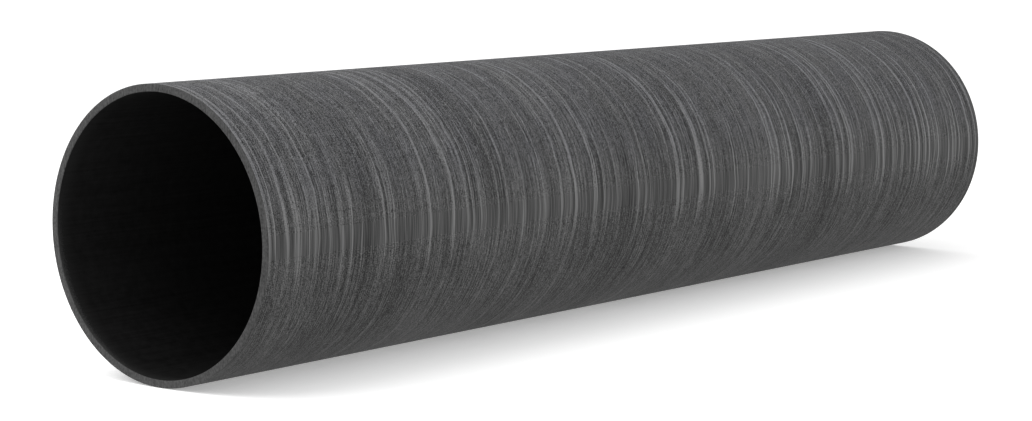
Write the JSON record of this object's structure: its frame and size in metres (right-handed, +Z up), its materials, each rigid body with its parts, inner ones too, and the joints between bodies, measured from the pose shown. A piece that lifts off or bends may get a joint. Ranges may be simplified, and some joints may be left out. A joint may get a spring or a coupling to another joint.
{
  "type": "sleeve pipe",
  "caption": "Plain-ended round steel sleeve pipe with an open bore, lying on its side; it lines a wall or floor opening so that a service pipe can pass through.",
  "frame": {"origin": "on the pipe's axis, midway between its two ends, which is the centre of its bore", "axes": "+Y along the axis, from the front mouth to the back mouth; +Z up; the pipe lies on the line of its outside that is lowest in Z"},
  "size_m": [0.1683, 0.79, 0.1682],
  "materials": {
    "dark_steel": "matte"
  },
  "bodies": {
    "root": {"sleeve_pipe": "dark_steel"}
  },
  "joints": []
}
